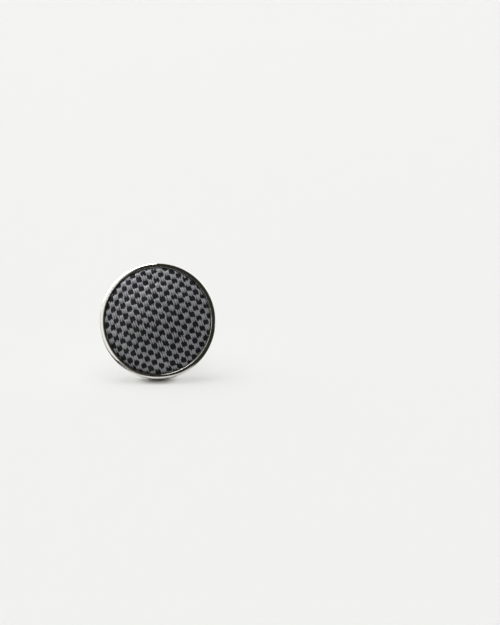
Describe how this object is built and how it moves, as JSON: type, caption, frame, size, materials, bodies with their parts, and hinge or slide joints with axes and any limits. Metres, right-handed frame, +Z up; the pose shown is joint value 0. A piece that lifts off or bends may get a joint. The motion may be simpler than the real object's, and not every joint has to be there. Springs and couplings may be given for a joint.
{
  "type": "cufflink",
  "caption": "Round cufflink with a domed check-cloth button set in a polished silver cup, and a post with a swivel toggle that turns across to hold the cuff.",
  "frame": {"origin": "on the ground, under the middle of the box around the cufflink as it stands in the picture", "axes": "+Z up, -Y towards the viewer of the face, +Y along the post towards the toggle's tip, +X to the viewer's right"},
  "size_m": [0.018, 0.0262, 0.018],
  "materials": {
    "polished_silver": "mirror-polished silver plate over brass, with fine handling scratches",
    "check_cloth": "woven silk, small black and grey check, slight sheen",
    "button_metal": "plain pressed sheet",
    "cured_glue": "clear amber cured epoxy",
    "spring_steel": "blued strip, fine grain along its length"
  },
  "bodies": {
    "face": {"bezel_cup": "polished_silver", "fabric_cover": "check_cloth", "button_shell": "button_metal", "button_back": "button_metal", "glue_pad": "cured_glue", "post_foot": "polished_silver", "post_blade": "polished_silver"},
    "toggle": {"toggle_bar": "polished_silver", "toggle_cap_front": "polished_silver", "toggle_cap_rear": "polished_silver", "pivot_pin": "polished_silver", "leaf_spring": "spring_steel"}
  },
  "joints": [
    {"name": "toggle_swivel", "type": "hinge", "parent": "face", "child": "toggle", "pos_m": [0, 0.00439, 0.00464], "axis": [0, 0.3192, 0.9477], "range_deg": [0, 90]}
  ]
}
